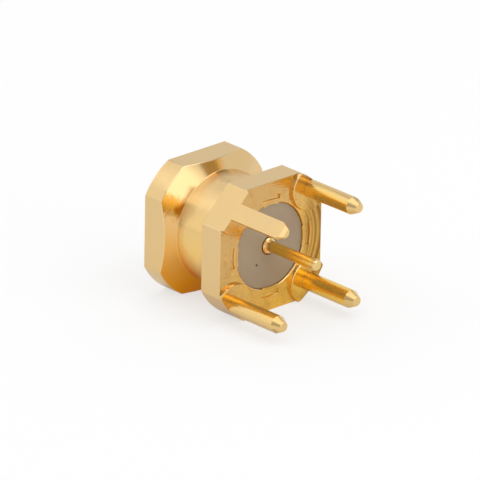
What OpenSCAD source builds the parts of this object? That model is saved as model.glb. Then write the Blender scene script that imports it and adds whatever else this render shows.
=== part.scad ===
// Board-mount coaxial socket, lying on its flats.
// X runs along the connector's axis, with the solder legs towards +X and the mating end towards -X.
// The origin is on the axis, in the plane where the stand-off pads meet the board.
// Each piece is drawn upright with its axis on z and is then laid down along X.

/* [Shell] */
// Width of the shell across its milled flats
flat_w = 7.0; // [6.6:0.1:7.6]
// Diameter that the shell's corners are turned to
corner_d = 8.0; // [7.8:0.1:9.0]
// Length of the shell from the board seat to the mating face
shell_l = 5.8; // [5.2:0.1:8.0]
// Chamfer that breaks the turned edges
edge_break = 0.06; // [0.02:0.01:0.12]

/* [Mating flange and neck] */
// Length of the flange at its full diameter
flange_land_l = 1.2; // [0.8:0.02:1.4]
// Angle between the back of the flange and a flat shoulder, in degrees
flange_back_a = 30; // [10:1:40]
// Diameter of the neck
neck_d = 5.9; // [5.7:0.05:6.4]
// Radius in the two inner corners of the neck
neck_fillet = 0.06; // [0.04:0.02:0.3]

/* [Rear block] */
// Length of the rear block, without its pads
block_l = 1.35; // [1.0:0.05:1.8]
// Distance of the key flat outside the axis of the leg that it cuts
key_land = 0.11; // [0.02:0.01:0.3]
// Length of the taper at the end of the key flat, on the leg's tip
key_tip_l = 0.2; // [0.1:0.02:0.4]

/* [Legs and pads] */
// Spacing of the four legs, the same both ways
leg_pitch = 5.08; // [4.9:0.02:5.2]
// Diameter of a leg
leg_d = 0.95; // [0.6:0.05:1.1]
// Length of a leg past the board seat
leg_l = 3.54; // [1.5:0.02:5.0]
// Length of a leg's tapered tip
leg_tip_l = 0.46; // [0.2:0.02:0.8]
// Diameter of the flat end of a leg
leg_tip_d = 0.5; // [0.2:0.02:0.56]
// Diameter of a stand-off pad
pad_d = 2.4; // [1.6:0.1:2.6]
// Height of a stand-off pad above the block's rear face
pad_h = 0.2; // [0.1:0.02:0.4]
// Chamfer at the rim of a stand-off pad
pad_break = 0.05; // [0.02:0.01:0.08]

/* [Mating socket] */
// Diameter of the socket behind its detent
socket_d = 5.1; // [4.9:0.05:5.3]
// Depth of the socket from the mating face
socket_depth = 3.3; // [3.0:0.05:3.6]
// Diameter of the lead-in at the mating face
mouth_d = 6.2; // [5.6:0.1:6.6]
// Diameter of the detent land
detent_d = 4.85; // [4.7:0.05:4.85]
// Length of the detent land
detent_l = 0.3; // [0.15:0.05:0.5]

/* [Insulator] */
// Diameter of the insulator's seat in the block
insulator_d = 4.6; // [4.4:0.05:4.7]
// Diameter of the insulator's nose in the socket's floor
nose_d = 3.9; // [3.4:0.05:4.1]
// Thickness of the shell's web, which the insulator seats on
web_t = 0.5; // [0.3:0.05:0.8]
// Depth of the insulator's rear face below the block's rear face
recess = 0.11; // [0.05:0.01:0.2]
// Chamfer at the rear mouth of the insulator's seat
seat_break = 0.07; // [0.02:0.01:0.08]
// Gap all round between the insulator and the shell
insulator_gap = 0.01; // [0.005:0.005:0.03]
// Diameter of the mould pit in the insulator's rear face
pit_d = 0.16; // [0.08:0.02:0.3]
// Depth of the mould pit
pit_depth = 0.1; // [0.04:0.02:0.2]
// Distance of the mould pit from the axis
pit_r = 1.21; // [0.9:0.01:1.8]
// Angle of the mould pit round the axis, from the right as seen from the board
pit_a = 226; // [0:1:359]

/* [Stakes] */
// Radius of the middle of a stake mark
stake_r = 2.63; // [2.55:0.01:2.8]
// Width of a stake mark
stake_w = 0.24; // [0.1:0.02:0.3]
// Depth of a stake mark
stake_depth = 0.08; // [0.05:0.01:0.2]
// Angle that a stake mark covers, in degrees
stake_a = 26; // [10:1:40]
// Overhang of the staked lip above the insulator
stake_lip = 0.06; // [0.02:0.01:0.12]

/* [Centre contact] */
// Diameter of the mating pin and the barrel
contact_d = 0.9; // [0.7:0.05:1.1]
// Length of the mating pin in front of the socket's floor
pin_l = 2.4; // [1.6:0.1:2.8]
// Length of the mating pin's tapered nose
pin_nose_l = 0.6; // [0.4:0.05:0.8]
// Radius of the mating pin's round end
pin_end_r = 0.2; // [0.1:0.02:0.3]
// Diameter of the solder tail
tail_d = 0.58; // [0.4:0.02:0.6]
// Length of the solder tail past the board seat
tail_l = 3.25; // [1.5:0.05:5.0]
// Chamfer at the ends of the barrel and the tail
contact_break = 0.08; // [0.02:0.01:0.12]
// Height of the retaining barb above the barrel
barb_h = 0.12; // [0.05:0.01:0.2]
// Length of the retaining barb
barb_l = 0.3; // [0.15:0.05:0.5]
// Width of the open ring round the barrel at the insulator's rear face
relief_w = 0.05; // [0.02:0.01:0.1]
// Depth of the open ring
relief_depth = 0.1; // [0.04:0.02:0.4]

/* [Hidden] */
$fn = 96;
cut = 1;                                    // how far a cutter runs past what it cuts

corner_r = corner_d / 2;
neck_r = neck_d / 2;
leg_at = leg_pitch / 2;
leg_corners = [[1, 1], [-1, 1], [-1, -1], [1, -1]];
stake_angles = [0:90:270];
key_angle = 135;                            // corner that carries the key flat
key_r = leg_at * sqrt(2) + key_land;
tip_a = atan((leg_d - leg_tip_d) / 2 / leg_tip_l);

// Heights along the axis, from the mating face to the board
z_face = -shell_l;
z_land = z_face + flange_land_l;
z_neck = z_land + (corner_r - neck_r) * tan(flange_back_a);
z_rear = -pad_h;
z_block = z_rear - block_l;
z_floor = z_face + socket_depth;
z_web = z_floor + web_t;
z_bead = z_rear - recess;
z_pin = z_floor - pin_l;
z_barb = (z_web + z_bead - barb_l) / 2;

mouth_l = (mouth_d - detent_d) / 2;         // lead-in at 45 degrees
detent_back = (socket_d - detent_d) / 2;    // 45 degree cone behind the detent land
z_detent = z_face + mouth_l;

gold = [0.86, 0.71, 0.42];
deep_gold = [0.80, 0.60, 0.25];
tan_plastic = [0.56, 0.49, 0.42];

// Turns an upright piece so that its axis lies along X, its x along Y and its y along Z
module lay_down() {
    rotate([90, 0, 90]) children();
}

// Fills the inner corner where a line leaving at angle a1 meets a line leaving at angle a2
module inner_fillet(corner, a1, a2, radius) {
    half = (a2 - a1) / 2;
    reach = radius / tan(half);
    centre = corner + radius / sin(half) * [cos(a1 + half), sin(a1 + half)];
    difference() {
        polygon([
            corner,
            corner + reach * [cos(a1), sin(a1)],
            centre,
            corner + reach * [cos(a2), sin(a2)],
        ]);
        translate(centre) circle(radius);
    }
}

// Half section of the turned blank: flange, neck and rear block
module blank_section() {
    polygon([
        [0, z_face],
        [corner_r - edge_break, z_face],
        [corner_r, z_face + edge_break],
        [corner_r, z_land],
        [neck_r, z_neck],
        [neck_r, z_block],
        [corner_r - edge_break, z_block],
        [corner_r, z_block + edge_break],
        [corner_r, z_rear],
        [0, z_rear],
    ]);
    inner_fillet([neck_r, z_neck], -flange_back_a, 90, neck_fillet);
    inner_fillet([neck_r, z_block], -90, 0, neck_fillet);
}

// Half section of the space inside: lead-in, detent, socket, web and the insulator's seat
module bore_section() {
    polygon([
        [0, z_face - cut],
        [mouth_d / 2, z_face - cut],
        [mouth_d / 2, z_face],
        [detent_d / 2, z_detent],
        [detent_d / 2, z_detent + detent_l],
        [socket_d / 2, z_detent + detent_l + detent_back],
        [socket_d / 2, z_floor],
        [nose_d / 2, z_floor],
        [nose_d / 2, z_web],
        [insulator_d / 2, z_web],
        [insulator_d / 2, z_rear - seat_break],
        [insulator_d / 2 + seat_break, z_rear],
        [insulator_d / 2 + seat_break, z_rear + cut],
        [0, z_rear + cut],
    ]);
}

// Outline that the flats and the turned corners leave of anything on the shell
module shell_outline(z_from, z_to) {
    translate([0, 0, z_from]) linear_extrude(z_to - z_from)
        intersection() {
            square(flat_w, center = true);
            circle(corner_r);
        }
}

// One solder leg, from inside the block to its blunt tapered tip
module leg() {
    translate([0, 0, z_rear]) cylinder(d = leg_d, h = leg_l - leg_tip_l - z_rear);
    translate([0, 0, leg_l - leg_tip_l]) cylinder(d1 = leg_d, d2 = leg_tip_d, h = leg_tip_l);
}

// One stand-off pad, with its rim broken
module pad() {
    translate([0, 0, z_rear]) cylinder(d = pad_d, h = pad_h - pad_break);
    translate([0, 0, -pad_break]) cylinder(d1 = pad_d, d2 = pad_d - 2 * pad_break, h = pad_break);
}

module pads_and_legs() {
    intersection() {
        for (c = leg_corners) {
            translate([c.x * leg_at, c.y * leg_at, 0]) {
                pad();
                leg();
            }
        }
        shell_outline(z_rear, leg_l + cut);
    }
}

// Blocks that mill the key flat along the rear block, one pad and one leg, and taper it at the leg's tip
module key_cutter() {
    rotate([0, 0, key_angle]) translate([key_r, -corner_r, 0]) {
        translate([0, 0, z_block - cut]) cube([corner_r, corner_d, leg_l + cut - z_block + cut]);
        translate([0, 0, leg_l - key_tip_l]) rotate([0, -tip_a, 0]) cube([corner_r, corner_d, leg_l]);
    }
}

// Ring segment at each of the four stake marks
module stake_ring(r_in, r_out, z_from, z_to) {
    for (a = stake_angles) {
        rotate([0, 0, a - stake_a / 2]) rotate_extrude(angle = stake_a)
            translate([r_in, z_from]) square([r_out - r_in, z_to - z_from]);
    }
}

module shell() {
    color(gold) lay_down() {
        difference() {
            union() {
                intersection() {
                    rotate_extrude() blank_section();
                    shell_outline(z_face - cut, z_rear + cut);
                }
                pads_and_legs();
            }
            rotate_extrude() bore_section();
            key_cutter();
            stake_ring(stake_r - stake_w / 2, stake_r + stake_w / 2, z_rear - stake_depth, z_rear + cut);
        }
        stake_ring(insulator_d / 2 - stake_lip, insulator_d / 2 + seat_break, z_bead, z_rear);
    }
}

// Half section of the centre contact: rounded mating pin, barbed barrel and solder tail
module contact_section() {
    translate([0, z_pin + pin_end_r]) intersection() {
        circle(pin_end_r);
        translate([0, -pin_end_r]) square(2 * pin_end_r);
    }
    polygon([
        [0, z_pin + pin_end_r],
        [pin_end_r, z_pin + pin_end_r],
        [contact_d / 2, z_pin + pin_nose_l],
        [contact_d / 2, z_barb],
        [contact_d / 2 + barb_h, z_barb],
        [contact_d / 2, z_barb + barb_l],
        [contact_d / 2, z_rear - contact_break],
        [contact_d / 2 - contact_break, z_rear],
        [tail_d / 2, z_rear],
        [tail_d / 2, tail_l - contact_break],
        [tail_d / 2 - contact_break, tail_l],
        [0, tail_l],
    ]);
}

// Half section of the insulator before the contact is pressed in
module insulator_section() {
    polygon([
        [0, z_floor],
        [nose_d / 2 - insulator_gap, z_floor],
        [nose_d / 2 - insulator_gap, z_web],
        [insulator_d / 2 - insulator_gap, z_web],
        [insulator_d / 2 - insulator_gap, z_bead],
        [0, z_bead],
    ]);
}

module insulator() {
    color(tan_plastic) lay_down() difference() {
        rotate_extrude() insulator_section();
        rotate_extrude() contact_section();
        translate([0, 0, z_bead - relief_depth])
            cylinder(d = contact_d + 2 * relief_w, h = relief_depth + cut);
        rotate([0, 0, pit_a]) translate([pit_r, 0, z_bead - pit_depth])
            cylinder(d = pit_d, h = pit_depth + cut);
    }
}

module centre_contact() {
    color(deep_gold) lay_down() rotate_extrude() contact_section();
}

shell();
insulator();
centre_contact();
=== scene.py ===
"""Looks of a gold-plated board-mount coaxial socket, lying on its flats.

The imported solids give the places, and the classes here rebuild each piece as a fine mesh and dress it.
Meshes are modelled in millimetres and brought to metres at the end, so that small edge breaks stay exact.
X runs along the connector's axis, with the solder legs towards +X, and Z points up.
"""

from __future__ import annotations

import logging
import math
from dataclasses import dataclass
from enum import Enum
from typing import Any, Iterable, Sequence, Union

import bmesh
import bpy
from mathutils import Matrix, Vector

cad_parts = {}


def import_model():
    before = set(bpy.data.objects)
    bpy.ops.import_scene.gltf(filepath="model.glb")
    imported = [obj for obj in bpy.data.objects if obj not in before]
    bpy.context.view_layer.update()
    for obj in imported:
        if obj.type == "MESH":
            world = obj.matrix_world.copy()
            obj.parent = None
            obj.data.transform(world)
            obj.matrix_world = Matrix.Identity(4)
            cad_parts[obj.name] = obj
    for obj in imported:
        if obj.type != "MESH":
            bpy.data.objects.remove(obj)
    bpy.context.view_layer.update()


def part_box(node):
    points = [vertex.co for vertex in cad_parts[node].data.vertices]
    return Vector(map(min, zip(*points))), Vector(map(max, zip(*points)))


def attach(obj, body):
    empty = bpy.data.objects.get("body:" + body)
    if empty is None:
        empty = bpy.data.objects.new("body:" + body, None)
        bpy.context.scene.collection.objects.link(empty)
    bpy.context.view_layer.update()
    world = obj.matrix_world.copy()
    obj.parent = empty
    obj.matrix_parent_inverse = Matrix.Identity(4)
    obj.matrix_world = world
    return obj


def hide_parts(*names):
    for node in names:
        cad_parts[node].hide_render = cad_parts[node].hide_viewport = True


LOG = logging.getLogger("socket")

MM = 0.001
BODY = "root"
MERGE = 1e-4  # points closer than this, in millimetres, are one point
SLIVER = 0.008  # edges shorter than this are closed up before edges are rounded
LEVEL = math.radians(0.2)  # faces that turn by less than this are joined
SOFT_INWARD, SOFT_OUTWARD = math.radians(-32.0), math.radians(50.0)  # edges between these are shaded softly
X_AXIS = Vector((1.0, 0.0, 0.0))
ORDER = Vector((1.0, 0.618, 0.414))  # meshes are sorted along this way, so that each run makes the same one
WHITE = (1.0, 1.0, 1.0, 1.0)

Point = tuple[float, float]
Triple = tuple[float, float, float]
Colour = tuple[float, float, float, float]
Value = Union[float, "Socket"]


class Cut(Enum):
    """The ways in which one mesh is combined with another."""

    JOIN = "UNION"
    REMOVE = "DIFFERENCE"


class Mark(Enum):
    """What a mesh notes about each face, for its finish to read."""

    SQUARE = "square_to_axis"
    MILLED = "milled_flat"
    EDGE = "broken_edge"


# Shader graphs


class Socket:
    """A node's output that can be used in Python expressions, which add Math nodes."""

    def __init__(self, graph: "Graph", output: bpy.types.NodeSocket | None) -> None:
        """Wrap one output of a graph.

        Args:
            graph: The graph that the output belongs to.
            output: The node's output, or None where a node ends the graph.
        """
        self.graph = graph
        self.output = output

    def _math(self, operation: str, *values: Value) -> "Socket":
        """Add one Math node.

        Args:
            operation: The Math node's operation.
            values: Its inputs, in order.

        Returns:
            The node's result.
        """
        return self.graph.node("ShaderNodeMath", {"operation": operation}, dict(enumerate(values)))

    def __add__(self, other: Value) -> "Socket":
        """Return self + other."""
        return self._math("ADD", self, other)

    def __radd__(self, other: Value) -> "Socket":
        """Return other + self."""
        return self._math("ADD", other, self)

    def __sub__(self, other: Value) -> "Socket":
        """Return self - other."""
        return self._math("SUBTRACT", self, other)

    def __rsub__(self, other: Value) -> "Socket":
        """Return other - self."""
        return self._math("SUBTRACT", other, self)

    def __mul__(self, other: Value) -> "Socket":
        """Return self * other."""
        return self._math("MULTIPLY", self, other)

    def __rmul__(self, other: Value) -> "Socket":
        """Return other * self."""
        return self._math("MULTIPLY", other, self)

    def __truediv__(self, other: Value) -> "Socket":
        """Return self / other."""
        return self._math("DIVIDE", self, other)

    def __rtruediv__(self, other: Value) -> "Socket":
        """Return other / self."""
        return self._math("DIVIDE", other, self)

    def smooth(self, low: float, high: float) -> "Socket":
        """Return 0 below low, 1 above high and a smooth step between them."""
        inputs = {"Value": self, "From Min": low, "From Max": high}
        return self.graph.node("ShaderNodeMapRange", {"interpolation_type": "SMOOTHSTEP"}, inputs)

    def within(self, low: float, high: float, soft: float) -> "Socket":
        """Return 1 between low and high and 0 outside, with soft ends."""
        return self.smooth(low - soft, low + soft) - self.smooth(high - soft, high + soft)

    def sine(self) -> "Socket":
        """Return the sine of the value."""
        return self._math("SINE", self)

    def largest(self, other: Value) -> "Socket":
        """Return the larger of two values."""
        return self._math("MAXIMUM", self, other)


class Graph:
    """One material's or world's node tree."""

    def __init__(self, tree: bpy.types.NodeTree) -> None:
        """Start an empty tree.

        Args:
            tree: The node tree to fill.
        """
        self.tree = tree
        tree.nodes.clear()

    def node(
        self,
        kind: str,
        settings: dict[str, Any] | None = None,
        inputs: dict[str | int, Any] | None = None,
        output: str | int = 0,
    ) -> Socket:
        """Add a node.

        Args:
            kind: The node's type.
            settings: Its properties, set first.
            inputs: Values or links of its sockets, by name or number.
            output: The output to return, by name or number.

        Returns:
            The chosen output.
        """
        made = self.tree.nodes.new(kind)
        for name, value in (settings or {}).items():
            setattr(made, name, value)
        for name, value in (inputs or {}).items():
            if isinstance(value, Socket):
                self.tree.links.new(value.output, made.inputs[name])
            else:
                made.inputs[name].default_value = value
        return Socket(self, made.outputs[output] if made.outputs else None)

    def place(self) -> Socket:
        """Return the surface's own coordinates, in millimetres."""
        metres = self.node("ShaderNodeTexCoord", output="Object")
        return self.node("ShaderNodeVectorMath", {"operation": "SCALE"}, {0: metres, "Scale": 1 / MM})

    def mark(self, kind: Mark) -> Socket:
        """Return what the mesh notes about a face, from 0 to 1."""
        return self.node("ShaderNodeAttribute", {"attribute_name": kind.value}, output="Fac")

    def stretched(self, vector: Socket, scale: Triple) -> Socket:
        """Return coordinates multiplied by a scale along each axis."""
        return self.node("ShaderNodeMapping", {"vector_type": "POINT"}, {"Vector": vector, "Scale": scale})

    def part(self, vector: Socket, axis: str) -> Socket:
        """Return one coordinate of a vector."""
        return self.node("ShaderNodeSeparateXYZ", {}, {0: vector}, axis)

    def from_axis(self, vector: Socket) -> Socket:
        """Return the way from the X axis to a place, as a vector square to the axis."""
        return self.node("ShaderNodeVectorMath", {"operation": "MULTIPLY"}, {0: vector, 1: (0.0, 1.0, 1.0)})

    def length(self, vector: Socket) -> Socket:
        """Return the length of a vector."""
        return self.node("ShaderNodeVectorMath", {"operation": "LENGTH"}, {0: vector}, "Value")

    def dot(self, first: Socket, second: Socket) -> Socket:
        """Return the dot product of two vectors."""
        return self.node("ShaderNodeVectorMath", {"operation": "DOT_PRODUCT"}, {0: first, 1: second}, "Value")

    def blend(self, share: Value, first: Any, second: Any) -> Socket:
        """Mix two colours.

        Args:
            share: How much of the second colour shows.
            first: The first colour or its socket.
            second: The second colour or its socket.

        Returns:
            The mixed colour.
        """
        return self.node("ShaderNodeMix", {"data_type": "RGBA"}, {0: share, 6: first, 7: second}, 2)

    def bump(self, height: Socket, depth: float, under: Socket | None = None) -> Socket:
        """Return a normal that follows a height.

        Args:
            height: The height, from 0 to 1.
            depth: The height's size, in millimetres.
            under: A bump that this one lies on.

        Returns:
            The bumped normal.
        """
        inputs: dict[str | int, Any] = {"Height": height, "Distance": depth * MM, "Strength": 1.0}
        if under is not None:
            inputs["Normal"] = under
        return self.node("ShaderNodeBump", {}, inputs)

    def surface(self, inputs: dict[str | int, Any]) -> None:
        """Finish a material with one Principled shader and the given sockets."""
        shader = self.node("ShaderNodeBsdfPrincipled", {}, inputs)
        self.node("ShaderNodeOutputMaterial", {}, {"Surface": shader})


def new_material(name: str) -> tuple[bpy.types.Material, Graph]:
    """Make an empty material.

    Args:
        name: The material's name.

    Returns:
        The material and its empty graph.
    """
    made = bpy.data.materials.new(name)
    made.use_nodes = True
    return made, Graph(made.node_tree)


# Finishes


@dataclass(frozen=True)
class Noise:
    """One layer of noise: features per millimetre, octaves, strength of the finer ones, stretch and band."""

    scale: float
    detail: float = 3.0
    roughness: float = 0.55
    stretch: Triple | None = None
    band: Point | None = None

    def on(self, graph: Graph, place: Socket) -> Socket:
        """Add the layer's nodes.

        Args:
            graph: The material's graph.
            place: Coordinates in millimetres.

        Returns:
            The noise from 0 to 1, or a soft step across its band.
        """
        spread = place if self.stretch is None else graph.stretched(place, self.stretch)
        inputs = {"Vector": spread, "Scale": self.scale, "Detail": self.detail, "Roughness": self.roughness}
        value = graph.node("ShaderNodeTexNoise", {}, inputs, "Fac")
        return value if self.band is None else value.smooth(*self.band)


class Zones:
    """Where a point of the plate lies on the part: places in millimetres, and shares from 0 to 1.

    Each pair of numbers is where a share starts to grow and where it is whole. SQUARE and SLANTED are cosines
    with the axis, and INWARD_BOUNCE is the cosine with the way to it.
    """

    REAR: Point = (-0.6, -0.4)
    PAST_REAR: Point = (-0.25, -0.15)
    RAISED: Point = (-0.15, -0.05)
    LEG_FOOT: Point = (0.02, 0.08)
    LEG_END: Point = (3.0, 3.12)
    TAIL_END: Point = (2.9, 3.0)
    TAIL_RIM: Point = (0.5, 0.7)
    FACE_RIM: Point = (0.8, 1.2)
    NECK_RIM: Point = (2.97, 3.05)
    SQUARE: Point = (0.95, 0.98)
    SLANTED: Point = (0.3, 0.6)
    INWARD_BOUNCE: Point = (-0.35, 0.45)

    def __init__(self, graph: Graph) -> None:
        """Add the nodes that find the zones.

        Args:
            graph: The material's graph.
        """
        self.place = graph.place()
        self.along, self.aside, self.height = (graph.part(self.place, axis) for axis in "XYZ")
        spoke = graph.from_axis(self.place)
        self.distance = graph.length(spoke)
        normal = graph.node("ShaderNodeNewGeometry", output="Normal")
        self.upward = graph.part(normal, "Z")
        way = graph.node("ShaderNodeVectorMath", {"operation": "NORMALIZE"}, {0: spoke})
        inward = 0.0 - graph.dot(normal, way)
        self.milled, self.edge = graph.mark(Mark.MILLED), graph.mark(Mark.EDGE)
        slope = graph.mark(Mark.SQUARE)
        square, slanted = slope.smooth(*self.SQUARE), slope.smooth(*self.SLANTED)
        self.rear, self.past_rear, self.raised = (
            self.along.smooth(*ends) for ends in (self.REAR, self.PAST_REAR, self.RAISED)
        )
        self.legs = self.along.smooth(*self.LEG_FOOT) * (1.0 - self.milled)
        before_end, before_tip = (1.0 - self.along.smooth(*ends) for ends in (self.TAIL_END, self.LEG_END))
        self.tail = self.legs * (1.0 - self.distance.smooth(*self.TAIL_RIM)) * before_end
        # Leg sides that turn inward, towards the other legs and the rear face, take painted reflection of
        # gold in gold.
        self.inward_bounce_sides = self.legs * inward.smooth(*self.INWARD_BOUNCE) * before_tip
        body = 1.0 - self.legs
        self.faced = square * body * self.distance.smooth(*self.FACE_RIM)
        self.cone = slanted * (1.0 - square) * body
        self.neck = (1.0 - self.distance.smooth(*self.NECK_RIM)) * (1.0 - slanted) * body


@dataclass(frozen=True)
class Wear:
    """How much each noise and zone adds to the plate's roughness."""

    cloud: float = 0.08
    grain: float = 0.07
    scuffs: float = 0.08
    edge: float = -0.04
    cone: float = -0.06
    legs: float = 0.08


@dataclass(frozen=True)
class Warmth:
    """How much each noise and zone adds to the plate's richer colour. The noises are random tone; the zones
    paint reflection of gold in gold on the legs, tail and neck, and painted shade on the neck's underside and
    on the faces square to the axis.
    """

    cloud: float = 0.35
    grain: float = 0.3
    legs: float = 0.2
    # Painted reflection of gold in gold on the legs' inward sides.
    inward_bounce: float = 0.8
    # Painted reflection of gold in gold on the neck, deeper on its underside as painted shade.
    neck: float = 0.35
    neck_upward: float = -0.5
    # Painted shade on the faces square to the axis: richer gold overall, more so further down and towards +Y.
    face: float = 0.32
    face_height: float = -0.13
    face_aside: float = 0.1


@dataclass(frozen=True)
class PaintedConeShade:
    """Painted shade on the flange's back: deeper gold downwards, and painted dark reflections in two bands
    given by their ends' sines and softness.
    """

    painted_shade_amber: float = 0.45
    amber_upward: float = -1.25
    above: Point = (0.0, 0.1)
    wander: float = 0.12
    left: Triple = (-0.92, -0.8, 0.04)
    left_amber: float = 0.82
    left_dull: float = 0.45
    top: Triple = (-0.28, 0.1, 0.1)
    top_amber: float = 0.85
    top_dull: float = 0.12


@dataclass(frozen=True)
class GoldPlate:
    """Gold plate over brass: pale outside, richer where gold faces gold as painted reflection, and deep in
    the flange's back as painted shade.

    Turned surfaces carry rings round the axis, and faces square to it carry circles. Milled flats are
    smoother, and broken edges paler, from wear and a painted highlight. The rear face is stained, and its
    right side is darker as painted shade, in streaks along the tool's tracks.
    Pitches and depths are in millimetres, and swings in radians of a ring's phase.
    """

    name: str
    pale: Colour = (0.75, 0.53, 0.25, 1.0)
    # Richer gold that paints reflection of gold in gold, and painted shade on the faces square to the axis.
    painted_bounce_gold: Colour = (0.98, 0.60, 0.10, 1.0)
    # Richer gold of the legs and tail, painted reflection of gold in gold.
    painted_leg_bounce: Colour = (0.95, 0.62, 0.12, 1.0)
    # Painted shade: the flange's back deepens to this deep orange gold.
    painted_shade_amber: Colour = (0.86, 0.36, 0.01, 1.0)
    # Gold of the faces square to the axis, a darker copy of the plate as painted shade.
    painted_shade_face: Colour = (0.655, 0.40, 0.142, 1.0)
    # Dark brown for real stains on the rear face, and for painted shade on the flange's back and on the rear
    # face's right side.
    stain_and_painted_shade: Colour = (0.32, 0.145, 0.03, 1.0)
    # Paler gold on broken edges: wear of the plate, and a painted highlight along them.
    worn_edge_highlight: Colour = (0.82, 0.62, 0.34, 1.0)
    roughness: float = 0.17
    wear: Wear = Wear()
    warmth: Warmth = Warmth()
    cone: PaintedConeShade = PaintedConeShade()
    cloud: Noise = Noise(0.55, 2.0)
    grain: Noise = Noise(14.0, 4.0, 0.6)
    scuffs: Noise = Noise(2.2, 5.0, 0.7, (2.0, 9.0, 9.0), (0.56, 0.75))
    spots: Noise = Noise(4.5, 3.0, 0.6)
    stains: Noise = Noise(2.6, 6.0, 0.72, band=(0.5, 0.7))
    tracks: Noise = Noise(3.2, 4.0, 0.7, band=(0.4, 0.58))
    wander: Noise = Noise(1.0, stretch=(5.0, 0.6, 0.6))
    swirl: Noise = Noise(0.9, 2.0)
    stain_share: float = 0.3
    worn_edge_highlight_share: float = 0.7
    track_share: float = 0.6
    track_drift: float = 0.15
    # Along Y, where the painted shade on the rear face's right side starts and where it is whole.
    painted_shade_side: Point = (1.8, 2.8)
    grain_depth: float = 0.0004
    ring_pitch: float = 0.035
    ring_depth: float = 0.0006
    ring_swing: float = 12.0
    leg_ring_fade: float = 0.8
    cone_ring_fade: float = 0.5
    circle_pitch: float = 0.14
    circle_depth: float = 0.0008
    circle_swing: float = 4.0

    def material(self) -> bpy.types.Material:
        """Make the material.

        Returns:
            The finished material.
        """
        made, graph = new_material(self.name)
        zone = Zones(graph)
        wear, layers = self.wear, (self.cloud, self.grain, self.scuffs)
        cloud, grain, scuffs = (layer.on(graph, zone.place) for layer in layers)
        noisy = wear.cloud * (cloud - 0.5) + wear.grain * (grain - 0.5) + wear.scuffs * scuffs
        rough = self.roughness + noisy + wear.edge * zone.edge + wear.cone * zone.cone + wear.legs * zone.legs
        inputs = {
            "Base Color": self.colour(graph, zone, cloud, grain),
            "Metallic": 1.0,
            "Roughness": rough,
            "Normal": self.normal(graph, zone, grain),
        }
        graph.surface(inputs)
        return made

    def colour(self, graph: Graph, zone: Zones, cloud: Socket, grain: Socket) -> Socket:
        """Colour the plate by its zone.

        Args:
            graph: The material's graph.
            zone: The zones of the part.
            cloud: Wide noise, from 0 to 1.
            grain: Fine noise, from 0 to 1.

        Returns:
            The plate's colour.
        """
        warmth = self.warmth
        mottle = warmth.cloud * (cloud - 0.5) + warmth.grain * (grain - 0.5)
        spots = self.spots.on(graph, zone.place) - 0.5
        # Painted reflection of gold in gold: the tail, the legs and more so their inward sides, and the neck,
        # deeper downwards as painted shade.
        legs_painted_bounce = zone.tail.largest(warmth.legs * zone.legs + warmth.inward_bounce * zone.inward_bounce_sides)
        warm = legs_painted_bounce + zone.neck * (warmth.neck + warmth.neck_upward * zone.upward)
        turned = graph.blend(warm + mottle, self.pale, graph.blend(zone.legs, self.painted_bounce_gold, self.painted_leg_bounce))
        # Painted shade on the flange's back: deep orange gold that grows downwards, and two bands of painted
        # dark reflection at given angles round the axis on its upper half.
        tones = self.cone
        around = zone.aside / zone.distance + tones.wander * spots
        above = zone.upward.smooth(*tones.above)
        left, top = (above * around.within(*band) for band in (tones.left, tones.top))
        downward_painted_shade = tones.painted_shade_amber + tones.amber_upward * zone.upward + mottle
        painted_shade_share = zone.cone * (downward_painted_shade + tones.left_amber * left + tones.top_amber * top)
        painted_dark_share = zone.cone * (tones.left_dull * left + tones.top_dull * top)
        back = graph.blend(painted_dark_share, graph.blend(painted_shade_share, turned, self.painted_shade_amber), self.stain_and_painted_shade)
        plate = graph.blend(zone.faced, back, self.face_colour(graph, zone, mottle, spots))
        # Broken edges turn paler: wear, and a painted highlight along them.
        return graph.blend(zone.edge * self.worn_edge_highlight_share, plate, self.worn_edge_highlight)

    def face_colour(self, graph: Graph, zone: Zones, mottle: Socket, spots: Socket) -> Socket:
        """Colour the faces square to the axis, with painted shade that deepens further down, towards +Y and
        on the rear face's right side.

        Args:
            graph: The material's graph.
            zone: The zones of the part.
            mottle: Noise that shifts the colour.
            spots: Noise that shifts it on the rear face.

        Returns:
            The faces' colour.
        """
        warmth = self.warmth
        # Painted shade: richer gold further down and towards +Y.
        painted_shade_slope = warmth.face_height * zone.height + warmth.face_aside * zone.aside
        clean = graph.blend(warmth.face + painted_shade_slope + zone.rear * spots + mottle, self.painted_shade_face, self.painted_bounce_gold)
        stains = self.stain_share * zone.rear * self.stains.on(graph, zone.place)
        stained = graph.blend(stains, clean, self.stain_and_painted_shade)
        # The rear face's right side darkens as painted shade, laid in streaks along the tool's tracks.
        track_at = {"X": zone.distance, "Y": self.track_drift * zone.along}
        track = graph.node("ShaderNodeCombineXYZ", {}, track_at)
        lines = 1.0 - self.track_share + self.track_share * self.tracks.on(graph, track)
        return graph.blend(zone.rear * zone.aside.smooth(*self.painted_shade_side) * lines, stained, self.stain_and_painted_shade)

    def normal(self, graph: Graph, zone: Zones, grain: Socket) -> Socket:
        """Lay the tool marks.

        Args:
            graph: The material's graph.
            zone: The zones of the part.
            grain: Fine noise, from 0 to 1.

        Returns:
            The bumped normal.
        """
        wander, swirl = (layer.on(graph, zone.place) for layer in (self.wander, self.swirl))
        rings = (zone.along * (math.tau / self.ring_pitch) + wander * self.ring_swing).sine()
        faint = (1.0 - self.leg_ring_fade * zone.past_rear) * (1.0 - self.cone_ring_fade * zone.cone)
        circles = (zone.distance * (math.tau / self.circle_pitch) + swirl * self.circle_swing).sine()
        fine = graph.bump(grain, self.grain_depth)
        turned = graph.bump(rings * (1.0 - zone.milled) * faint, self.ring_depth, fine)
        return graph.bump(circles * zone.faced * (1.0 - zone.raised), self.circle_depth, turned)


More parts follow.
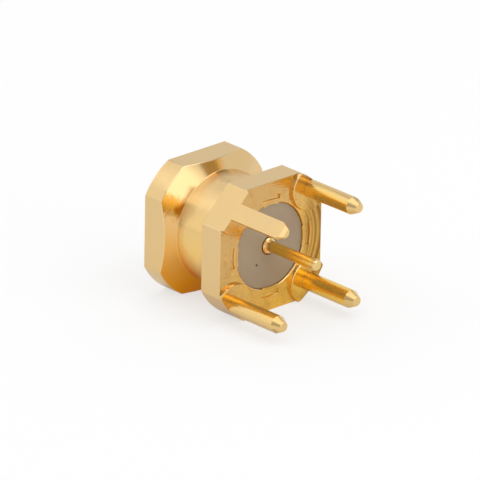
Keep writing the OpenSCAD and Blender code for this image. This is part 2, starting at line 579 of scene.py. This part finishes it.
@dataclass(frozen=True)
class BeadPlastic:
    """Matt grey-tan plastic with a fine grain and faint turning rings. Lengths in millimetres."""

    name: str
    body: Colour = (0.345, 0.263, 0.170, 1.0)
    warm: Colour = (0.335, 0.240, 0.146, 1.0)
    speck: Colour = (0.22, 0.15, 0.10, 1.0)
    cloud: Noise = Noise(0.7, band=(0.3, 0.72))
    grain: Noise = Noise(26.0, 4.0, 0.65)
    specks: Noise = Noise(9.0, 2.0, band=(0.69, 0.76))
    wander: Noise = Noise(1.6, 2.0)
    speck_share: float = 0.5
    roughness: float = 0.5
    rough_grain: float = 0.12
    rough_rings: float = 0.03
    refraction: float = 1.5
    grain_depth: float = 0.004
    ring_pitch: float = 0.07
    ring_depth: float = 0.0006
    ring_swing: float = 5.0

    def material(self) -> bpy.types.Material:
        """Make the material.

        Returns:
            The finished material.
        """
        made, graph = new_material(self.name)
        place = graph.place()
        layers = (self.cloud, self.grain, self.specks, self.wander)
        cloud, grain, specks, wander = (layer.on(graph, place) for layer in layers)
        distance = graph.length(graph.from_axis(place))
        rings = (distance * (math.tau / self.ring_pitch) + wander * self.ring_swing).sine()
        base = graph.blend(cloud, self.body, self.warm)
        inputs = {
            "Base Color": graph.blend(specks * self.speck_share, base, self.speck),
            "Roughness": self.roughness + self.rough_grain * (grain - 0.5) + self.rough_rings * rings,
            "IOR": self.refraction,
            "Normal": graph.bump(rings, self.ring_depth, graph.bump(grain, self.grain_depth)),
        }
        graph.surface(inputs)
        return made


# Meshes


def add_object(name: str, data: bpy.types.ID) -> bpy.types.Object:
    """Add an object to the scene.

    Args:
        name: The object's name.
        data: The mesh, light or camera that it shows.

    Returns:
        The object, at the origin.
    """
    made = bpy.data.objects.new(name, data)
    bpy.context.scene.collection.objects.link(made)
    return made


def rounded(corners: Sequence[Triple], steps: int = 3) -> list[Point]:
    """Round the corners of an open outline.

    Args:
        corners: Each corner's place along X, distance from the axis and radius, 0 for a sharp one.
        steps: Stretches along each rounding.

    Returns:
        The outline's points.
    """
    points: list[Point] = []
    for i, (x, r, radius) in enumerate(corners):
        here = Vector((x, r))
        if not radius:
            points.append((x, r))
            continue
        before, after = (Vector(corners[j][:2]) - here for j in (i - 1, i + 1))
        half = before.angle(after) / 2
        centre = here + (before.normalized() + after.normalized()).normalized() * radius / math.sin(half)
        first = here + before.normalized() * radius / math.tan(half) - centre
        last = here + after.normalized() * radius / math.tan(half) - centre
        swing = first.angle_signed(last)
        for k in range(steps + 1):
            spoke = Matrix.Rotation(-swing * k / steps, 2) @ first
            points.append(tuple(centre + spoke))
    return points


class Solid:
    """A closed mesh in millimetres that operators cut, join and round."""

    def __init__(self, mesh: bmesh.types.BMesh) -> None:
        """Hold a mesh.

        Args:
            mesh: The mesh to work on.
        """
        self.mesh = mesh

    @classmethod
    def turned(
        cls,
        outline: Sequence[Point],
        steps: int,
        centre: Point = (0.0, 0.0),
        closed: bool = False,
        start: float = 0.0,
        angle: float = math.tau,
    ) -> "Solid":
        """Turn a half section about an axis along X.

        Args:
            outline: Places along X and distances from the axis, in order.
            steps: Faces round the turn.
            centre: Where the axis crosses the YZ plane.
            closed: Whether the outline's last point joins its first.
            start: The angle at which the turn starts, from +Z towards -Y.
            angle: The angle turned, a whole turn unless given.

        Returns:
            The turned solid, with its ends capped where the turn isn't whole.
        """
        made = bmesh.new()
        axis = Vector((0.0, *centre))
        points = [made.verts.new((x, axis.y, axis.z + r)) for x, r in outline]
        pairs = list(zip(points, points[1:])) + ([(points[-1], points[0])] if closed else [])
        edges = [made.edges.new(pair) for pair in pairs]
        if start:
            bmesh.ops.rotate(made, cent=axis, matrix=Matrix.Rotation(start, 3, "X"), verts=points)
        whole = math.isclose(angle, math.tau)
        geometry = points + edges if whole else points + edges + [made.faces.new(points)]
        bmesh.ops.spin(
            made, geom=geometry, cent=axis, axis=X_AXIS, angle=angle, steps=steps, use_merge=whole
        )
        solid = cls(made)
        solid.tidy()
        return solid

    def tidy(self) -> None:
        """Merge doubled points and turn every face outwards."""
        bmesh.ops.remove_doubles(self.mesh, verts=self.mesh.verts, dist=MERGE)
        bmesh.ops.dissolve_degenerate(self.mesh, edges=self.mesh.edges, dist=MERGE)
        bmesh.ops.recalc_face_normals(self.mesh, faces=self.mesh.faces)

    def mill(self, normal: Vector, distance: float, past_x: float | None = None) -> None:
        """Cut a flat and close it.

        Args:
            normal: The flat's outward direction.
            distance: The flat's distance from the axis.
            past_x: Only faces whose middle lies past this place along X are cut, if given.
        """
        faces = [f for f in self.mesh.faces if past_x is None or f.calc_center_median().x > past_x]
        verts = dict.fromkeys(v for f in faces for v in f.verts)
        edges = dict.fromkeys(e for f in faces for e in f.edges)
        geometry, on_plane = [*verts, *edges, *faces], normal * distance
        bmesh.ops.bisect_plane(
            self.mesh, geom=geometry, dist=MERGE, plane_co=on_plane, plane_no=normal, clear_outer=True
        )
        rim = [e for e in self.mesh.edges if e.is_boundary]
        milled = self.mesh.faces.layers.float.get(Mark.MILLED.value)
        for face in bmesh.ops.holes_fill(self.mesh, edges=rim, sides=0)["faces"]:
            face[milled] = 1.0
        self.tidy()

    def combine(self, other: "Solid", cut: Cut) -> None:
        """Combine with another solid, which is used up.

        Args:
            other: The other solid.
            cut: How the two are combined.
        """
        mine, theirs = self._to_object(), other._to_object()
        step = mine.modifiers.new("combine", "BOOLEAN")
        step.operation = cut.value
        step.solver = "EXACT"
        step.object = theirs
        result = self._applied(mine)
        self.mesh.clear()
        self.mesh.from_mesh(result)
        self.mesh.verts.sort(key=lambda v: v.co.dot(ORDER))
        self.mesh.edges.sort(key=lambda e: (e.verts[0].co + e.verts[1].co).dot(ORDER))
        self.mesh.faces.sort(key=lambda f: f.calc_center_median().dot(ORDER))
        self.mesh.to_mesh(result)
        self.mesh.clear()
        self.mesh.from_mesh(result)
        bpy.data.meshes.remove(result)
        bpy.data.meshes.remove(theirs.data)
        other.mesh.free()
        self.tidy()

    def _to_object(self) -> bpy.types.Object:
        """Copy the mesh into a passing object of the scene.

        Returns:
            The object.
        """
        data = bpy.data.meshes.new("work")
        self.mesh.to_mesh(data)
        return add_object("work", data)

    @staticmethod
    def _applied(made: bpy.types.Object) -> bpy.types.Mesh:
        """Apply the modifiers of a passing object, which is then removed.

        Args:
            made: The object.

        Returns:
            The mesh that its modifiers make.
        """
        graph = bpy.context.evaluated_depsgraph_get()
        shaped = made.evaluated_get(graph)
        result = bpy.data.meshes.new_from_object(shaped, preserve_all_data_layers=True, depsgraph=graph)
        bpy.data.meshes.remove(made.data)
        return result

    def join_level(self) -> None:
        """Close up slivers and join level faces into one, ready for edges to be rounded."""
        self.mesh.faces.layers.float.new(Mark.EDGE.value)
        bmesh.ops.remove_doubles(self.mesh, verts=self.mesh.verts, dist=SLIVER)
        bmesh.ops.dissolve_limit(self.mesh, angle_limit=LEVEL, verts=self.mesh.verts, edges=self.mesh.edges)

    def break_edges(
        self, width: float, sharpest: float, low_x: float = -math.inf, high_x: float = math.inf
    ) -> None:
        """Round the outward edges whose middle lies in a stretch along X.

        Args:
            width: The width of the rounding.
            sharpest: Edges that turn by more than this many degrees are rounded.
            low_x: Where the stretch starts.
            high_x: Where the stretch ends.
        """
        layer = self.mesh.faces.layers.float.get(Mark.EDGE.value)
        limit = math.radians(sharpest)
        sharp = (e for e in self.mesh.edges if e.is_manifold and e.calc_face_angle_signed() > limit)
        chosen = [e for e in sharp if low_x < sum(v.co.x for v in e.verts) / 2 < high_x]
        made = bmesh.ops.bevel(
            self.mesh, geom=chosen, offset=width, offset_type="OFFSET", affect="EDGES", segments=2,
            profile=0.5, material=-1, loop_slide=True, clamp_overlap=False,
        )
        for face in made["faces"]:
            face[layer] = 1.0
        self.tidy()

    def piece(self, name: str) -> bpy.types.Object:
        """Turn the mesh into a finished object, in metres, with soft shading but sharp inner corners.

        Args:
            name: The object's name.

        Returns:
            The finished object, at the origin.
        """
        square = self.mesh.faces.layers.float.new(Mark.SQUARE.value)
        for face in self.mesh.faces:
            face.smooth = True
            face[square] = abs(face.normal.x)
        for edge in self.mesh.edges:
            edge.smooth = edge.is_manifold and SOFT_INWARD < edge.calc_face_angle_signed() < SOFT_OUTWARD
        work = self._to_object()
        self.mesh.free()
        weigh = work.modifiers.new("even_flats", "WEIGHTED_NORMAL")
        weigh.keep_sharp = True
        data = self._applied(work)
        data.name = name
        data.transform(Matrix.Scale(MM, 4))
        return add_object(name, data)


@dataclass
class Bounds:
    """A node's corners, in millimetres."""

    low: Vector
    high: Vector

    @classmethod
    def of(cls, node: str) -> "Bounds":
        """Return the box of a node."""
        low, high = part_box(node)
        return cls(low / MM, high / MM)


def settle(made: bpy.types.Object, finish: GoldPlate | BeadPlastic, node: str) -> None:
    """Dress a piece and let it stand for a node of the frame.

    Args:
        made: The piece.
        finish: Its finish.
        node: The node that it replaces.
    """
    made.data.materials.append(finish.material())
    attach(made, BODY)
    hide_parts(node)


# Pieces


@dataclass
class Shell:
    """The outer conductor: flange, neck, rear block, pads and legs, all one piece. Sizes in millimetres."""

    box: Bounds
    floor_x: float
    bead_x: float
    finish: GoldPlate
    corner_r: float = 4.0
    flange_land: float = 1.2
    flange_back: float = 30.0
    neck_r: float = 2.95
    neck_fillet: float = 0.06
    pad_h: float = 0.2
    pad_r: float = 1.2
    pad_round: float = 0.075
    block_l: float = 1.35
    leg_at: float = 2.54
    leg_r: float = 0.475
    leg_tip_l: float = 0.46
    leg_tip_r: float = 0.25
    leg_tip_round: float = 0.05
    leg_shoulder_round: float = 0.1
    key_land: float = 0.11
    key_tip_l: float = 0.2
    seat_r: float = 2.3
    seat_break: float = 0.07
    nose_r: float = 1.95
    web_t: float = 0.5
    socket_r: float = 2.55
    mouth_r: float = 3.1
    detent_r: float = 2.425
    detent_l: float = 0.3
    stake_r: float = 2.63
    stake_w: float = 0.24
    stake_depth: float = 0.08
    stake_angle: float = 26.0
    stake_rim: float = 0.03
    stake_flare: float = 0.06
    stake_lip: float = 0.06
    sink: float = 0.05
    spare: float = 0.1
    sharp: float = 38.0
    edge: float = 0.03
    leg_edge: float = 0.02
    leg_edge_end: float = 0.92
    steps: int = 180
    leg_steps: int = 72
    stake_steps: int = 16
    round_steps: int = 4

    @property
    def rear_x(self) -> float:
        """Place of the block's rear face."""
        return -self.pad_h

    @property
    def block_x(self) -> float:
        """Place of the block's front shoulder."""
        return self.rear_x - self.block_l

    def outline(self) -> list[Point]:
        """Half section of the turned blank with its bore, with metal to spare round the block.

        Returns:
            Places along X and distances from the axis, as a closed loop.
        """
        face_x = self.box.low.x
        land_x = face_x + self.flange_land
        neck_x = land_x + (self.corner_r - self.neck_r) * math.tan(math.radians(self.flange_back))
        mouth_x = face_x + self.mouth_r - self.detent_r
        detent_x = mouth_x + self.detent_l
        socket_x = detent_x + self.socket_r - self.detent_r
        web_x = self.floor_x + self.web_t
        return rounded(
            [
                (face_x, self.mouth_r, 0.0),
                (face_x, self.corner_r, 0.0),
                (land_x, self.corner_r, 0.0),
                (neck_x, self.neck_r, self.neck_fillet),
                (self.block_x, self.neck_r, self.neck_fillet),
                (self.block_x, self.corner_r + self.spare, 0.0),
                (self.rear_x, self.corner_r + self.spare, 0.0),
                (self.rear_x, self.seat_r, self.seat_break),
                (web_x, self.seat_r, 0.0),
                (web_x, self.nose_r, 0.0),
                (self.floor_x, self.nose_r, 0.0),
                (self.floor_x, self.socket_r, 0.0),
                (socket_x, self.socket_r, 0.0),
                (detent_x, self.detent_r, 0.0),
                (mouth_x, self.detent_r, 0.0),
            ],
            steps=self.round_steps,
        )

    def leg(self, y: float, z: float) -> Solid:
        """Model one pad and leg, sunk a little into the block.

        Args:
            y: Place of the leg's axis along Y.
            z: Place of the leg's axis along Z.

        Returns:
            The leg.
        """
        tip_x, foot_x = self.box.high.x, self.rear_x - self.sink
        outline = rounded(
            [
                (foot_x, 0.0, 0.0),
                (foot_x, self.pad_r, 0.0),
                (0.0, self.pad_r, self.pad_round),
                (0.0, self.leg_r, 0.0),
                (tip_x - self.leg_tip_l, self.leg_r, self.leg_shoulder_round),
                (tip_x, self.leg_tip_r, self.leg_tip_round),
                (tip_x, 0.0, 0.0),
            ],
            steps=self.round_steps,
        )
        return Solid.turned(outline, self.leg_steps, centre=(y, z))

    def turn_down(self, body: Solid) -> None:
        """Turn the block, pads and legs down to the corner diameter in one cut.

        Args:
            body: The shell so far.
        """
        front_x, past_x = self.block_x - self.spare, self.box.high.x + self.spare
        outer = self.corner_r + self.pad_r
        ring = [(front_x, self.corner_r), (front_x, outer), (past_x, outer), (past_x, self.corner_r)]
        body.combine(Solid.turned(ring, self.steps, closed=True), Cut.REMOVE)

    def mill_key(self, body: Solid) -> None:
        """Mill the key flat along the block, one pad and one leg, and taper it at the leg's tip.

        Args:
            body: The shell so far.
        """
        outward = Vector((0.0, -1.0, 1.0)).normalized()
        distance = self.leg_at * math.sqrt(2) + self.key_land
        body.mill(outward, distance, past_x=self.block_x - self.edge)
        taper = math.atan2(self.leg_r - self.leg_tip_r, self.leg_tip_l)
        slant = math.cos(taper) * outward + math.sin(taper) * X_AXIS
        start = distance * outward + (self.box.high.x - self.key_tip_l) * X_AXIS
        body.mill(slant, slant.dot(start))

    def stakes(self, section: Sequence[Point]) -> Iterable[Solid]:
        """Ring segments at the four stake marks.

        Args:
            section: Their half section, as places along X and distances from the axis.

        Yields:
            One segment for each mark.
        """
        span = math.radians(self.stake_angle)
        for quarter in range(4):
            start = quarter * math.pi / 2 - span / 2
            yield Solid.turned(section, self.stake_steps, closed=True, start=start, angle=span)

    def build(self) -> bpy.types.Object:
        """Model the shell.

        Returns:
            The finished object, without a finish.
        """
        body = Solid.turned(self.outline(), self.steps, closed=True)
        for y in (-self.leg_at, self.leg_at):
            for z in (-self.leg_at, self.leg_at):
                body.combine(self.leg(y, z), Cut.JOIN)
        self.turn_down(body)
        body.mesh.faces.layers.float.new(Mark.MILLED.value)
        flat = self.box.high.y
        for normal in (Vector((0, 1, 0)), Vector((0, -1, 0)), Vector((0, 0, 1)), Vector((0, 0, -1))):
            body.mill(normal, flat)
        self.mill_key(body)
        body.join_level()
        body.break_edges(self.edge, self.sharp, high_x=self.rear_x + MERGE)
        body.break_edges(self.leg_edge, self.sharp, low_x=MERGE, high_x=self.box.high.x - self.leg_edge_end)
        for mark in self.stakes(self.stake_section()):
            body.combine(mark, Cut.REMOVE)
        for lip in self.stakes(self.lip_section()):
            body.combine(lip, Cut.JOIN)
        return body.piece("shell_body")

    def stake_section(self) -> list[Point]:
        """Half section of the punch that leaves a stake mark, flared a little at the mark's rim.

        Returns:
            Places along X and distances from the axis.
        """
        inner, outer = self.stake_r - self.stake_w / 2, self.stake_r + self.stake_w / 2
        steps = (-self.stake_depth, -self.stake_rim, self.stake_rim)
        floor_x, low_x, high_x = (self.rear_x + step for step in steps)
        return [
            (floor_x, inner),
            (floor_x, outer),
            (low_x, outer),
            (high_x, outer + self.stake_flare),
            (high_x, inner - self.stake_flare),
            (low_x, inner),
        ]

    def lip_section(self) -> list[Point]:
        """Half section of the metal that a stake pushes over the bead's rim.

        Returns:
            Places along X and distances from the axis.
        """
        inner, outer = self.seat_r - self.stake_lip, self.seat_r + self.seat_break + self.edge
        high_x = self.rear_x - self.edge / 2
        return [(self.bead_x, inner), (self.bead_x, outer), (high_x, outer), (high_x, inner)]

    def dress(self, made: bpy.types.Object) -> None:
        """Give the shell its finish and its place in the frame."""
        settle(made, self.finish, "shell")


@dataclass
class Insulator:
    """The stepped plastic bead. Sizes in millimetres."""

    box: Bounds
    barb_r: float
    finish: BeadPlastic
    web_t: float = 0.5
    nose_r: float = 1.94
    bore_r: float = 0.45
    barb_l: float = 0.3
    relief_w: float = 0.05
    relief_depth: float = 0.1
    pit_d: float = 0.16
    pit_depth: float = 0.1
    pit_r: float = 1.21
    pit_angle: float = 226.0
    pit_floor_share: float = 0.6
    pit_steps: int = 24
    sharp: float = 40.0
    edge: float = 0.02
    steps: int = 160

    def build(self) -> bpy.types.Object:
        """Model the bead.

        Returns:
            The finished object, without a finish.
        """
        floor_x, rear_x, seat_r = self.box.low.x, self.box.high.x, self.box.high.y
        web_x, relief_x = floor_x + self.web_t, rear_x - self.relief_depth
        relief_r = self.bore_r + self.relief_w
        barb_x = (web_x + rear_x - self.barb_l) / 2
        outline = [
            (floor_x, self.bore_r),
            (floor_x, self.nose_r),
            (web_x, self.nose_r),
            (web_x, seat_r),
            (rear_x, seat_r),
            (rear_x, relief_r),
            (relief_x, relief_r),
            (relief_x, self.bore_r),
            (barb_x + self.barb_l, self.bore_r),
            (barb_x, self.barb_r),
            (barb_x, self.bore_r),
        ]
        bead = Solid.turned(outline, self.steps, closed=True)
        bead.join_level()
        bead.break_edges(self.edge, self.sharp)
        bead.combine(self.pit(), Cut.REMOVE)
        return bead.piece("insulator_bead")

    def pit(self) -> Solid:
        """Make the cutter of the small mould pit.

        Returns:
            The cutter, narrower at its floor.
        """
        rear_x, wide = self.box.high.x, self.pit_d / 2
        low_x, past_x = rear_x - self.pit_depth, rear_x + self.pit_depth
        narrow = wide * self.pit_floor_share
        outline = [(low_x, 0.0), (low_x, narrow), (rear_x, wide), (past_x, wide), (past_x, 0.0)]
        around = math.radians(self.pit_angle)
        centre = (self.pit_r * math.cos(around), self.pit_r * math.sin(around))
        return Solid.turned(outline, self.pit_steps, centre=centre)

    def dress(self, made: bpy.types.Object) -> None:
        """Give the bead its finish and its place in the frame."""
        settle(made, self.finish, "insulator")


@dataclass
class CentreContact:
    """The turned centre contact: mating pin, barbed barrel and solder tail. Sizes in millimetres."""

    box: Bounds
    rear_x: float
    bead_x: float
    web_x: float
    finish: GoldPlate
    barrel_r: float = 0.45
    tail_r: float = 0.29
    nose_l: float = 0.6
    end_r: float = 0.2
    end_round: float = 0.18
    barb_l: float = 0.3
    chamfer: float = 0.08
    sharp: float = 25.0
    edge: float = 0.02
    steps: int = 72

    def build(self) -> bpy.types.Object:
        """Model the contact.

        Returns:
            The finished object, without a finish.
        """
        pin_x, tail_x, barb_r = self.box.low.x, self.box.high.x, self.box.high.y
        barb_x = (self.web_x + self.bead_x - self.barb_l) / 2
        outline = rounded(
            [
                (pin_x, 0.0, 0.0),
                (pin_x, self.end_r, self.end_round),
                (pin_x + self.nose_l, self.barrel_r, 0.0),
                (barb_x, self.barrel_r, 0.0),
                (barb_x, barb_r, 0.0),
                (barb_x + self.barb_l, self.barrel_r, 0.0),
                (self.rear_x - self.chamfer, self.barrel_r, 0.0),
                (self.rear_x, self.barrel_r - self.chamfer, 0.0),
                (self.rear_x, self.tail_r, 0.0),
                (tail_x - self.chamfer, self.tail_r, 0.0),
                (tail_x, self.tail_r - self.chamfer, 0.0),
                (tail_x, 0.0, 0.0),
            ]
        )
        pin = Solid.turned(outline, self.steps)
        pin.join_level()
        pin.break_edges(self.edge, self.sharp)
        return pin.piece("contact_pin")

    def dress(self, made: bpy.types.Object) -> None:
        """Give the contact its finish and its place in the frame."""
        settle(made, self.finish, "centre_contact")


# Studio


@dataclass(frozen=True)
class Panel:
    """One soft light: its azimuth and elevation, its width and height in degrees, and its brightness."""

    name: str
    towards: Point
    spread: Point
    glow: float
    reach: float = 300.0

    def hang(self) -> None:
        """Make the light and turn it towards the object."""
        wide, high = (2.0 * self.reach * MM * math.tan(math.radians(x) / 2) for x in self.spread)
        around, above = (math.radians(x) for x in self.towards)
        level = math.cos(above)
        way = Vector((level * math.cos(around), level * math.sin(around), math.sin(above)))
        data = bpy.data.lights.new(self.name, "AREA")
        data.shape = "RECTANGLE"
        data.size, data.size_y = wide, high
        data.energy = self.glow * math.pi * wide * high
        made = add_object(self.name, data)
        made.location = way * self.reach * MM
        made.rotation_euler = way.to_track_quat("Z", "Y").to_euler()
        made.visible_camera = False


@dataclass
class Studio:
    """Plain pale floor, soft light and the photograph's camera. Lengths in millimetres, angles in degrees."""

    floor_z: float
    azimuth: float = 46.54
    elevation: float = 22.42
    roll: float = -1.10
    distance: float = 417.0
    scale_px: float = 19.844
    frame_px: float = 480.0
    sensor: float = 36.0
    near: float = 10.0
    axis_px: Point = (270.64, 246.06)
    axis_x: float = -0.2
    floor_half: float = 900.0
    floor_white: Colour = (0.84, 0.84, 0.84, 1.0)
    floor_roughness: float = 0.9
    white_share: float = 0.65
    white_from: Point = (40.0, 160.0)
    mirror_share: float = 0.2
    sky: Colour = (0.98, 0.98, 1.0, 1.0)
    ambient: float = 0.5
    panels: tuple[Panel, ...] = (
        Panel("top_panel", towards=(-90.0, 82.0), spread=(75.0, 75.0), glow=0.9),
        Panel("left_panel", towards=(-155.0, 25.0), spread=(90.0, 50.0), glow=0.6),
        Panel("right_panel", towards=(5.0, 13.0), spread=(38.0, 32.0), glow=1.25),
        Panel("back_left_panel", towards=(132.0, 22.0), spread=(50.0, 40.0), glow=0.38),
        Panel("back_right_panel", towards=(78.0, 18.0), spread=(62.0, 44.0), glow=0.42),
        Panel("high_right_panel", towards=(26.0, 52.0), spread=(44.0, 30.0), glow=1.3),
        Panel("front_panel", towards=(-48.0, 14.0), spread=(40.0, 32.0), glow=0.6),
    )

    def camera(self) -> None:
        """Place the camera at the photograph's viewing angle."""
        a, e, r = (math.radians(x) for x in (self.azimuth, self.elevation, self.roll))
        back = Vector((math.sin(a) * math.cos(e), -math.cos(a) * math.cos(e), math.sin(e)))
        right = Vector((math.cos(a), math.sin(a), 0.0))
        up = back.cross(right)
        turned_right = math.cos(r) * right - math.sin(r) * up
        turned_up = math.sin(r) * right + math.cos(r) * up
        aside, below = ((p - self.frame_px / 2) / self.scale_px for p in self.axis_px)
        spot = self.axis_x * X_AXIS + self.distance * back - aside * turned_right + below * turned_up
        data = bpy.data.cameras.new("camera")
        data.sensor_fit = "HORIZONTAL"
        data.sensor_width = self.sensor
        data.lens = self.scale_px * self.distance * self.sensor / self.frame_px
        data.clip_start = self.near * MM
        made = add_object("camera", data)
        turn = Matrix((turned_right, turned_up, back)).transposed().to_4x4()
        made.matrix_world = Matrix.Translation(spot * MM) @ turn
        bpy.context.scene.camera = made

    def floor(self) -> None:
        """Lay the pale floor."""
        mesh = bmesh.new()
        bmesh.ops.create_grid(mesh, x_segments=1, y_segments=1, size=self.floor_half * MM)
        bmesh.ops.translate(mesh, vec=(0.0, 0.0, self.floor_z * MM), verts=mesh.verts)
        data = bpy.data.meshes.new("floor")
        mesh.to_mesh(data)
        mesh.free()
        made = add_object("floor", data)
        data.materials.append(self.floor_material())

    def floor_material(self) -> bpy.types.Material:
        """Make the floor's white, which takes a soft shadow and turns plain white away from the object.

        Returns:
            The material.
        """
        made, graph = new_material("floor_white")
        finish = {"Base Color": self.floor_white, "Roughness": self.floor_roughness}
        plain = graph.node("ShaderNodeBsdfPrincipled", {}, {**finish, "Specular IOR Level": 0.0})
        white = graph.node("ShaderNodeEmission", {}, {"Color": WHITE, "Strength": 1.0})
        names = ("Is Camera Ray", "Is Glossy Ray", "Is Transmission Ray")
        camera, glossy, through = (graph.node("ShaderNodeLightPath", output=name) for name in names)
        far = graph.length(graph.place()).smooth(*self.white_from)
        seen = camera * (self.white_share + (1.0 - self.white_share) * far)
        share = seen.largest(glossy.largest(through) * self.mirror_share)
        mixed = graph.node("ShaderNodeMixShader", {}, {0: share, 1: plain, 2: white})
        graph.node("ShaderNodeOutputMaterial", {}, {"Surface": mixed})
        return made

    def world(self) -> None:
        """Light the scene from all round with a plain even sky, which the camera sees as white."""
        made = bpy.data.worlds.new("studio")
        bpy.context.scene.world = made
        made.use_nodes = True
        graph = Graph(made.node_tree)
        camera = graph.node("ShaderNodeLightPath", output="Is Camera Ray")
        strength = self.ambient + (1.0 - self.ambient) * camera
        sky = graph.node("ShaderNodeBackground", {}, {"Color": self.sky, "Strength": strength})
        graph.node("ShaderNodeOutputWorld", {}, {"Surface": sky})

    def build(self) -> None:
        """Set up the whole studio."""
        bpy.context.scene.view_settings.view_transform = "Standard"
        self.world()
        self.floor()
        for panel in self.panels:
            panel.hang()
        self.camera()


def main() -> None:
    """Load the frame, build and dress each piece, and set up the studio."""
    logging.basicConfig(level=logging.INFO, format="%(name)s: %(message)s")
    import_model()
    shell_box, bead_box, pin_box = (Bounds.of(n) for n in ("shell", "insulator", "centre_contact"))
    shell = Shell(shell_box, bead_box.low.x, bead_box.high.x, GoldPlate("plated_shell"))
    bead = Insulator(bead_box, pin_box.high.y, BeadPlastic("bead_plastic"))
    web_x = bead_box.low.x + bead.web_t
    contact = CentreContact(pin_box, shell.rear_x, bead_box.high.x, web_x, GoldPlate("plated_pin"))
    for part in (shell, bead, contact):
        made = part.build()
        part.dress(made)
        LOG.info("%s: %d faces", made.name, len(made.data.polygons))
    Studio(floor_z=shell_box.low.z).build()


if __name__ == "__main__":
    main()
